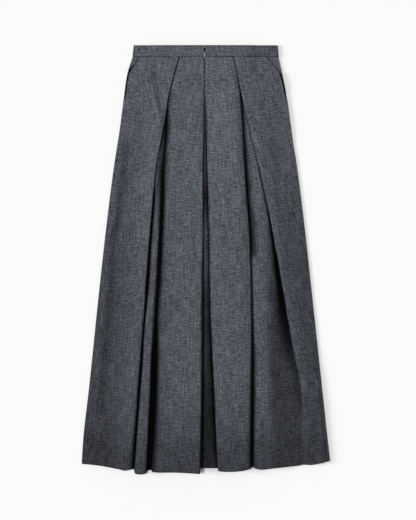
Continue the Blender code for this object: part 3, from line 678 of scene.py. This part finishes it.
def wave_points(drop):
    """Control points of the right underlay, from its wave beside the slot to its end under the side."""
    slot = value(LINES, "right_slot", drop)
    edge = value(LINES, "right_fold", drop)
    top = value(WAVE, "height", drop)
    climb = top - UNDERLAY_LAYER
    rise = slot + value(WAVE, "rise", drop)
    shoulder = slot + value(WAVE, "shoulder", drop)
    return [(slot - value(DEPTHS, "slot", drop), UNDERLAY_LAYER), (rise - WAVE_LEAN, UNDERLAY_LAYER),
            (rise + WAVE_LEAN, UNDERLAY_LAYER + WAVE_BROW * climb),
            (slot + value(WAVE, "crest", drop), top),
            (shoulder, UNDERLAY_LAYER + WAVE_SHOULDER * climb),
            (max(edge - WAVE_FOOT, shoulder + WAVE_RUN), UNDERLAY_LAYER),
            (edge + value(DEPTHS, "right_fold", drop), UNDERLAY_LAYER)]


def right_front(drop):
    """The right side panel, its fold and the underlay that runs on from it, as one stretch of cloth.

    Where the fold has died out, its turns are drawn out straight between the panel and the valley.
    """
    side = side_panel(drop, 1)
    wave = wave_points(drop)[::-1]
    open_fold = float(smooth((drop - FOLD_FADES_AT) / (FOLD_GONE_AT - FOLD_FADES_AT)))
    turns = np.array(side[6:] + wave[:1])
    start, end = np.array(side[5]), np.array(wave[1])
    shares = np.linspace(0, 1, len(turns) + 2)[1:-1, None]
    turns = turns + open_fold * (start + (end - start) * shares - turns)
    points = side[:6] + [tuple(turn) for turn in turns] + wave[1:]
    return dropped(points, RIGHT_HEM, drop)


def centre_panel(drop, hand):
    """Front centre panel, folded under at the middle of the skirt and at its outer slot."""
    side = side_name(hand)
    inner = value(LINES, "centre_" + side, drop)
    outer = value(LINES, side + "_slot", drop)
    crest = value(HEIGHTS, "crest", drop)
    inner_top = value(HEIGHTS, "centre", drop)
    outer_top = value(HEIGHTS, "slot", drop)
    crown = outer_top + CROWN_RISE * (crest - outer_top)
    inner_end = RETURN_END if drop >= CENTRE_UNDERLAY_TOP else RETURN_LAYER
    inner_fold = fold(inner, hand, inner_top, inner_top, value(ROLLS, "pressed", drop),
                      value(DEPTHS, "centre", drop), inner_end)
    outer_fold = fold(outer, -hand, outer_top, crown, value(ROLLS, "soft", drop),
                      value(DEPTHS, "slot", drop), RETURN_END)
    points = inner_fold[::-1] + [((inner + outer) / 2, crest)] + outer_fold
    return dropped(points, CENTRE_HEM_LEFT if hand < 0 else CENTRE_HEM_RIGHT, drop)


def edge_shade(drop, row, column, inward):
    """Light beside a fold edge: dark at the edge, and full at the end of its fade."""
    inside = inward * (row[:, 0] - value(LINES, column, drop))
    table = EDGE_SHADES[column]
    away = (inside - value(table, "start", drop)) / value(table, "fade", drop)
    return 1 - value(table, "dark", drop) * (1 - smooth(away))


# Light on the left side panel and on the right front, across the skirt from their fold edges
Spread = namedtuple("Spread", "drop side fold")
LEFT_SPREAD = (
    Spread(0, 1.0, 1.0), Spread(100, 0.98, 1.06), Spread(170, 0.84, 1.08), Spread(252, 0.80, 1.06),
    Spread(334, 0.80, 1.10), Spread(427, 0.74, 1.06), Spread(520, 0.68, 0.98), Spread(614, 0.62, 0.94),
    Spread(707, 0.64, 0.88), Spread(801, 0.64, 0.94), Spread(871, 0.66, 1.0), Spread(973, 0.76, 1.06),
)
LEFT_RISE = 0.36
LEFT_RISE_SHARE = 0.5
RIGHT_SPREAD = (
    Spread(0, 0.9, 1.0), Spread(100, 0.86, 1.05), Spread(170, 0.84, 1.0), Spread(252, 0.76, 0.95),
    Spread(310, 0.76, 0.95), Spread(350, 0.68, 0.95), Spread(427, 0.64, 1.0), Spread(520, 0.60, 0.95), Spread(614, 0.62, 0.98),
    Spread(707, 0.60, 0.90), Spread(800, 0.64, 0.86), Spread(871, 0.76, 0.76), Spread(973, 0.90, 0.88),
)
PANEL_RUN = 12.0
# Painted shade across the right underlay: where it lifts out of the slot's shade, where it darkens past the wave's
# brow and to what level, and the dark shade in the groove beside the fold edge
Valley = namedtuple("Valley", "drop slot_start slot_fade brow level start groove dark")
VALLEY = (
    Valley(0, 0, 3, 20, 0.9, 0, 3, 0.2),
    Valley(100, 1.5, 8, 20, 0.9, 0, 3, 0.8),
    Valley(170, 0, 13, 20, 0.70, 0, 4, 0.5),
    Valley(252, 0, 17, 22, 0.9, 1, 4, 0.8),
    Valley(334, 0.5, 17, 22, 0.85, 1.8, 6, 0.9),
    Valley(427, 0, 27, 24, 0.56, 4.8, 7, 1.0),
    Valley(462, 0, 23, 26, 0.48, 7, 8, 1.0),
    Valley(480, 0, 7, 26, 0.43, 8, 8, 1.0),
    Valley(520, 0, 6, 26, 0.40, 10, 8, 1.0),
    Valley(567, 0, 6, 22, 0.40, 10, 18, 1.0),
    Valley(614, 0.5, 7, 26, 0.50, 9, 34, 0.98),
    Valley(649, 1.0, 9, 22, 0.41, 8, 32, 0.92),
    Valley(684, 1.5, 12, 24, 0.41, 7, 30, 0.82),
    Valley(719, 2.0, 14, 24, 0.43, 8, 24, 0.62),
    Valley(754, 2.5, 12, 28, 0.45, 4, 20, 0.5),
    Valley(801, 3.0, 12, 28, 0.45, 3, 20, 0.45),
    Valley(836, 3.0, 10, 30, 0.52, 4, 20, 0.25),
    Valley(871, 3.0, 8, 34, 0.60, 6, 20, 0.0),
    Valley(973, 3.0, 7, 40, 0.80, 6, 20, 0.0),
)
VALLEY_RUN = 26.0


def mouth_shade(drop, row, hand):
    """Light on a side panel beside its pocket mouth, whose rim is in the mouth's own shadow."""
    inside = -hand * (row[:, 0] - mouth_edge(drop, hand))
    rim = value(MOUTH_LINES, "rim_" + side_name(hand), drop)
    return 1 - rim * (1 - smooth((inside - PANEL_EDGE_FLAT) / PANEL_EDGE_FADE))


def left_side_shade(drop, row):
    edge = value(LINES, "left_fold", drop)
    side = mouth_edge(drop, -1)
    spread = smooth(((row[:, 0] - side) / (edge - side) - LEFT_RISE) / LEFT_RISE_SHARE)
    light = value(LEFT_SPREAD, "side", drop) + spread * (
        value(LEFT_SPREAD, "fold", drop) - value(LEFT_SPREAD, "side", drop))
    return light * edge_shade(drop, row, "left_fold", -1) * mouth_shade(drop, row, -1)


def right_front_shade(drop, row):
    edge = value(LINES, "right_fold", drop)
    slot = value(LINES, "right_slot", drop)
    x = row[:, 0]
    spread = np.exp(-np.maximum(x - edge, 0.0) / PANEL_RUN)
    panel = value(RIGHT_SPREAD, "side", drop) + spread * (
        value(RIGHT_SPREAD, "fold", drop) - value(RIGHT_SPREAD, "side", drop))
    panel = panel * edge_shade(drop, row, "right_fold", 1)
    fall = smooth((x - slot - value(VALLEY, "brow", drop)) / VALLEY_RUN)
    wave = smooth((x - slot - value(VALLEY, "slot_start", drop)) / value(VALLEY, "slot_fade", drop))
    wave = wave * (1 - (1 - value(VALLEY, "level", drop)) * fall)
    groove = smooth((edge - x - value(VALLEY, "start", drop)) / value(VALLEY, "groove", drop))
    wave = wave * (1 - value(VALLEY, "dark", drop) * (1 - groove))
    return np.where(x > edge, panel, wave) * mouth_shade(drop, row, 1)


def centre_shade(drop, row, hand):
    side = side_name(hand)
    light = edge_shade(drop, row, "centre_" + side, hand) * edge_shade(drop, row, side + "_slot", -hand)
    light = light * value(CENTRE_LIGHT, side, drop)
    inside = hand * (value(LINES, side + "_slot", drop) - row[:, 0])
    away = smooth(inside / value(SLOW_SHADES, "width", drop))
    return light * (1 - value(SLOW_SHADES, side, drop) * (1 - away))


# Main creases: soft troughs and ridges along a path, each with its own width on either side and a painted shade
# that darkens it
Crease = namedtuple("Crease", "panel path left right height shade")
CREASES = (
    Crease("front_left_side", ((190, -187), (250, -192), (334, -200), (427, -214), (520, -221), (614, -228),
                               (707, -235), (801, -243), (871, -251)), 13.0, 20.0, -1.6, 0.34),
    Crease("front_left_side", ((0, -127), (30, -127), (77, -120), (125, -108), (200, -98)), 5.0, 18.0, -0.5, 0.4),
    Crease("front_left_side", ((300, -170), (520, -182), (700, -190)), 14.0, 14.0, 0.7, 0.0),
    Crease("front_left_centre", ((150, -60), (420, -72), (700, -78), (960, -86)), 12.0, 12.0, -0.6, 0.06),
    Crease("front_left_centre", ((330, -30), (600, -36), (960, -44)), 11.0, 11.0, 0.6, 0.0),
    Crease("front_right_centre", ((200, 50), (500, 62), (960, 66)), 13.0, 13.0, -0.6, 0.05),
    Crease("front_right", ((120, 150), (300, 166), (480, 186), (620, 205)), 13.0, 13.0, -0.6, 0.08),
    Crease("front_right", ((560, 222), (760, 246), (973, 262)), 16.0, 16.0, -0.9, 0.12),
    Crease("front_right", ((700, 258), (973, 278)), 8.0, 8.0, 0.8, 0.0),
)
CREASE_END = 60.0


def crease(name, drops, rows, shades):
    """Press the panel's creases into its rows, on the face cloth alone."""
    for mark in (m for m in CREASES if m.panel == name):
        path_drops, path_x = zip(*mark.path)
        for r, drop in enumerate(drops):
            ends = smooth((drop - path_drops[0]) / CREASE_END + 0.2) * smooth((path_drops[-1] - drop) / CREASE_END
                                                                               + 0.2)
            if ends <= 0:
                continue
            away = rows[r][:, 0] - np.interp(drop, path_drops, path_x)
            width = np.where(away < 0, mark.left, mark.right)
            press = ends * smooth(1 - np.abs(away) / width)
            face = press * (rows[r][:, 2] > RETURN_END + 0.8)
            rows[r][:, 2] += face * mark.height
            shades[r] = shades[r] * (1 - mark.shade * press)


drops = drops_to_hem(0)
for name, section, shading, nodes, flat, area in (
        ("front_left_side", lambda drop: dropped(side_panel(drop, -1), SIDE_HEM_LEFT, drop), left_side_shade,
         ["front_left_side"], (0.17, 1.02), 0.148),
        ("front_right", right_front, right_front_shade, ["front_right_side", "right_pleat_underlay"],
         (0.24, 1.02), 0.225),
        ("front_left_centre", lambda drop: centre_panel(drop, -1), lambda drop, row: centre_shade(drop, row, -1),
         ["front_left_centre"], (0.18, 1.02), 0.166),
        ("front_right_centre", lambda drop: centre_panel(drop, 1), lambda drop, row: centre_shade(drop, row, 1),
         ["front_right_centre"], (0.165, 1.02), 0.155)):
    steps = span_steps(section(drops[-1]))
    rows = [rounded(section(drop), steps) for drop in drops]
    shades = hem_shades(shading, drops, rows)
    crease(name, drops, rows, shades)
    panel = lay_cloth(name + "_cloth", rows, shades, wool_melange)
    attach(panel, "skirt")
    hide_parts(*nodes)

# The waistband is a straight strip of the wool, folded over a stiff interlining and sewn to the panels. Its
# front is split at the zip, its back lies on the surface, and its long edges are the folded ones.
BAND_WALL = 2.2
BAND_TOP_LEFT = -168.1
BAND_TOP_RIGHT = 166.9
BAND_SHOULDER = 14.0
BAND_ROW_STEP = 1.0
BAND_ROUND = 0.9
BAND_EDGE_FADE = 3.0
BAND_EDGE_LIGHT = 0.3
BAND_LIGHT = 0.94
SEAM_LIGHT_LEFT = 0.62
SEAM_LIGHT_RIGHT = 0.42
DIM_END_X = 78.0
DIM_END_RUN = 30.0
DIM_END_LIGHT = 0.80
ZIP_X = -2.9
ZIP_OPENING = 1.8
band_wool = wool("waistband wool", turned=True)


def band_front(share, hand):
    """A section of one half of the front, a share of the way from the seam up to the top."""
    side, top_x = ("left", BAND_TOP_LEFT) if hand < 0 else ("right", BAND_TOP_RIGHT)
    seam_x = value(LINES, "side_" + side, 0)
    outer = seam_x + share * (top_x - seam_x)
    end = ZIP_X + hand * ZIP_OPENING / 2
    swell, stack = stack_places(0, hand)
    points = [(outer, SIDE_LAYER), (outer - hand * BAND_SHOULDER, SIDE_LAYER), (swell, SIDE_LAYER),
              (stack, FACE_LAYER), ((stack + end) / 2, FACE_LAYER), (end, FACE_LAYER)]
    return np.array([(x, BAND_SEAM_Y + share * BAND_HEIGHT, z) for x, z in points])


def band_back(share, hand):
    """A section of the back of the waistband."""
    ends = [x + share * (top - x) for x, top in ((LINES[0].side_left, BAND_TOP_LEFT),
                                                 (LINES[0].side_right, BAND_TOP_RIGHT))]
    y = BAND_SEAM_Y + share * BAND_HEIGHT
    return np.array([(x, y, BAND_WALL / 2) for x in (ends[0], sum(ends) / 2, ends[1])])


for name, section, hand, flat in (("waistband_front_left", band_front, -1, (0.18, 0.035)),
                                  ("waistband_front_right", band_front, 1, (0.18, 0.035)),
                                  ("waistband_back", band_back, 0, (0.36, 0.035))):
    shares = np.linspace(1, 0, math.ceil(BAND_HEIGHT / BAND_ROW_STEP) + 1)
    steps = span_steps(section(0, hand))
    rows = np.array([rounded(section(share, hand), steps) for share in shares])
    # Painted shade on the band: darker at its top edge and ends, where the folded cloth rounds away, along its
    # seam, and towards its right end
    x = rows[:, :, 0]
    from_top = (1 - shares)[:, None] * BAND_HEIGHT
    from_seam = shares[:, None] * BAND_HEIGHT
    from_ends = np.minimum(np.abs(x - x[:, :1]), np.abs(x - x[:, -1:]))
    seam_light = np.where(x < 0, SEAM_LIGHT_LEFT, SEAM_LIGHT_RIGHT)
    shades = BAND_LIGHT * (1 - (1 - BAND_EDGE_LIGHT) * (
        1 - smooth(np.minimum(from_top, from_ends) / BAND_EDGE_FADE)))
    shades *= 1 - (1 - seam_light) * (1 - smooth(from_seam / BAND_EDGE_FADE))
    shades *= 1 - (1 - DIM_END_LIGHT) * smooth((x - DIM_END_X) / DIM_END_RUN)
    band = lay_cloth(name + "_cloth", rows, shades, band_wool, cloth=BAND_WALL - 0.2, turning=0)
    band.modifiers["Rounded rim"].width = BAND_ROUND * MM
    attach(band, "skirt")
    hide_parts(name)

# The zip is a woven tape behind the centre seam, with nylon teeth, a plated slider and its hinged pull.
TAPE_WIDTH = 14.0
TAPE_WALL = 0.6
TAPE_TOP_Y = 491.0
TAPE_BOTTOM_Y = 298.0
TAPE_Z = RETURN_LAYER - WALL / 2 - SEAM_GAP - TAPE_WALL / 2


def tape_look():
    """Black ribbed tape."""
    look, tree, shader = new_look("zip tape", Roughness=0.8, Specular_IOR_Level=0.3)
    place = Field.node(tree, "ShaderNodeTexCoord", None, None, 3)
    across, down = (Field.node(tree, "ShaderNodeSeparateXYZ", None, {0: place}, k) for k in (0, 1))
    ribs = (across * 9000.0).sine() * (down * 5000.0).sine()
    colour = colour_mix(tree, 0.5 + 0.3 * ribs, (0.012, 0.013, 0.016, 1), (0.03, 0.032, 0.038, 1))
    tree.links.new(colour.socket, shader.inputs["Base Color"])
    bump = Field.node(tree, "ShaderNodeBump", None, {"Strength": 0.4, "Distance": 0.1 * MM, "Height": ribs})
    tree.links.new(bump.socket, shader.inputs["Normal"])
    return look


tape_rows = [[(x, y, TAPE_Z) for x in np.linspace(ZIP_X - TAPE_WIDTH / 2, ZIP_X + TAPE_WIDTH / 2, 15)]
             for y in np.linspace(TAPE_TOP_Y, TAPE_BOTTOM_Y, 60)]
tape = lay_cloth("zip_tape_cloth", tape_rows, np.ones((60, 15)), tape_look(), cloth=TAPE_WALL, turning=0)
tape.modifiers["Rounded rim"].width = 0.15 * MM
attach(tape, "skirt")
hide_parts("zip_tape")

# The teeth are two nylon coils, one along each half of the tape, which lock into each other under the slit
COIL_PITCH = 1.1
COIL_RADIUS = 0.42
COIL_THREAD = 0.17
COIL_OFFSET = 0.28
COIL_Z = TAPE_Z + TAPE_WALL / 2 + COIL_RADIUS + COIL_THREAD
COIL_TOP_Y = 480.0
COIL_BOTTOM_Y = 300.0
POINTS_A_TURN = 10
coil_curve = bpy.data.curves.new("zip teeth", "CURVE")
coil_curve.dimensions = "3D"
coil_curve.bevel_depth = COIL_THREAD * MM
coil_curve.bevel_resolution = 1
turns = (COIL_TOP_Y - COIL_BOTTOM_Y) / COIL_PITCH
for hand in (-1, 1):
    turn = np.linspace(0, turns, int(turns * POINTS_A_TURN) + 1)
    angle = 2 * math.pi * (turn + (0.5 if hand > 0 else 0.0))
    coil = np.stack([ZIP_X + hand * COIL_OFFSET + COIL_RADIUS * np.cos(angle), COIL_TOP_Y - turn * COIL_PITCH,
                     COIL_Z + COIL_RADIUS * np.sin(angle), np.full(len(turn), 1 / MM)], axis=1) * MM
    spline = coil_curve.splines.new("POLY")
    spline.points.add(len(coil) - 1)
    spline.points.foreach_set("co", coil.astype(np.float32).ravel())
teeth = bpy.data.objects.new("zip_teeth", coil_curve)
bpy.context.scene.collection.objects.link(teeth)
nylon, nylon_tree, nylon_shader = new_look("nylon teeth", Roughness=0.45, Specular_IOR_Level=0.4)
nylon_place = Field.node(nylon_tree, "ShaderNodeTexCoord", None, None, 3)
nylon_dust = Field.node(nylon_tree, "ShaderNodeTexNoise", None, {"Vector": nylon_place, "Scale": 900.0})
nylon_colour = colour_mix(nylon_tree, nylon_dust, (0.012, 0.013, 0.016, 1), (0.035, 0.037, 0.045, 1))
nylon_tree.links.new(nylon_colour.socket, nylon_shader.inputs["Base Color"])
coil_curve.materials.append(nylon)
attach(teeth, "skirt")


def plated_look(name, dark, pale):
    """Dulled plating with fine rubbed scratches."""
    look, tree, shader = new_look(name, Metallic=1.0)
    place = Field.node(tree, "ShaderNodeTexCoord", None, None, 3)
    scratches = Field.node(tree, "ShaderNodeTexNoise", None,
                           {"Vector": place, "Scale": 1800.0, "Detail": 3.0, "Roughness": 0.6})
    colour = colour_mix(tree, scratches, (dark, dark, dark, 1), (pale, pale, pale, 1))
    tree.links.new(colour.socket, shader.inputs["Base Color"])
    tree.links.new((0.38 + 0.2 * scratches).socket, shader.inputs["Roughness"])
    return look


plated = plated_look("plated metal", 0.18, 0.32)
blackened = plated_look("blackened metal", 0.012, 0.03)
for node, metal in (("zip_slider", blackened), ("zip_pull", plated), ("waist_hook", plated), ("waist_eye", plated)):
    for holder in bpy.data.objects[node].material_slots:
        holder.material = metal

# The skirt lies on a plain pale surface, under a soft studio light from above and a little to its left.
SURFACE_HALF = 20.0
SURFACE_Z = -0.3
surface_mesh = bpy.data.meshes.new("surface")
surface_mesh.from_pydata([(x, y, SURFACE_Z * MM) for x, y in ((-SURFACE_HALF, -SURFACE_HALF),
                         (SURFACE_HALF, -SURFACE_HALF), (SURFACE_HALF, SURFACE_HALF),
                         (-SURFACE_HALF, SURFACE_HALF))], [], [(0, 1, 2, 3)])
surface = bpy.data.objects.new("surface", surface_mesh)
bpy.context.scene.collection.objects.link(surface)
paper, paper_tree, paper_shader = new_look("pale surface", Base_Color=(0.673, 0.673, 0.673, 1), Roughness=1.0,
                                           Specular_IOR_Level=0.0)
surface_mesh.materials.append(paper)

SUN_FROM = (-0.42, 0.03, 0.9)
sun = bpy.data.objects.new("window light", bpy.data.lights.new("window light", "SUN"))
sun.data.energy = 2.6
sun.data.angle = math.radians(14)
bpy.context.scene.collection.objects.link(sun)
from mathutils import Vector
sun.rotation_euler = Vector(SUN_FROM).to_track_quat("Z", "Y").to_euler()
# A low light grazes the surface alone, so that the skirt's right edge throws a faint soft shadow on it
GRAZE_FROM = (-0.95, 0.02, 0.34)
graze = bpy.data.objects.new("low window light", bpy.data.lights.new("low window light", "SUN"))
graze.data.energy = 3.3
graze.data.angle = math.radians(15)
graze.rotation_euler = Vector(GRAZE_FROM).to_track_quat("Z", "Y").to_euler()
bpy.context.scene.collection.objects.link(graze)
lit_surface = bpy.data.collections.new("lit by the low light")
lit_surface.objects.link(surface)
graze.light_linking.receiver_collection = lit_surface
world = bpy.data.worlds.new("studio")
world.use_nodes = True
world.node_tree.nodes["Background"].inputs["Color"].default_value = (1.0, 1.0, 1.0, 1.0)
world.node_tree.nodes["Background"].inputs["Strength"].default_value = 0.32
bpy.context.scene.world = world
bpy.context.scene.view_settings.view_transform = "Standard"

CAMERA_HEIGHT = 4.0
CAMERA_X = 0.0053
CAMERA_Y = -0.0012
FRAME_HEIGHT = 1.215
camera = bpy.data.objects.new("camera", bpy.data.cameras.new("camera"))
camera.location = (CAMERA_X, CAMERA_Y, CAMERA_HEIGHT)
camera.data.lens = camera.data.sensor_width * CAMERA_HEIGHT / FRAME_HEIGHT
bpy.context.scene.collection.objects.link(camera)
bpy.context.scene.camera = camera
